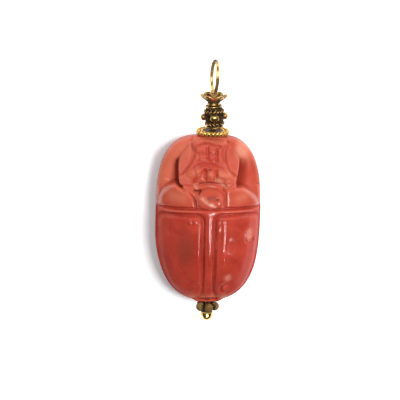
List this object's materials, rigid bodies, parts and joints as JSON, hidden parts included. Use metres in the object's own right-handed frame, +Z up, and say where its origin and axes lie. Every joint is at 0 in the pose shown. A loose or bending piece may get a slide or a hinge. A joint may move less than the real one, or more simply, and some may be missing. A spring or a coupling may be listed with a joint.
{
  "type": "coral scarab pendant",
  "caption": "Carved coral beetle pendant, lying on its flat base, strung lengthwise on a gold head pin between gold beads, with a hanging ring.",
  "frame": {"origin": "middle of the pendant's length and width, on the plane of the beetle's flat base", "axes": "+Z up from the flat base to the carved back, +Y along the pendant towards the beetle's head and the hanging ring, +X to the right seen from above"},
  "size_m": [0.0201, 0.0508, 0.0107],
  "materials": {
    "coral": "polished",
    "bright_gold": "polished",
    "old_gold": "satin"
  },
  "bodies": {
    "root": {"scarab": "coral", "head_pin": "bright_gold", "bail_ring": "bright_gold", "granule_ring": "bright_gold", "flower_cap": "old_gold", "barrel_bead": "old_gold", "daisy_spacer": "old_gold"}
  },
  "joints": []
}
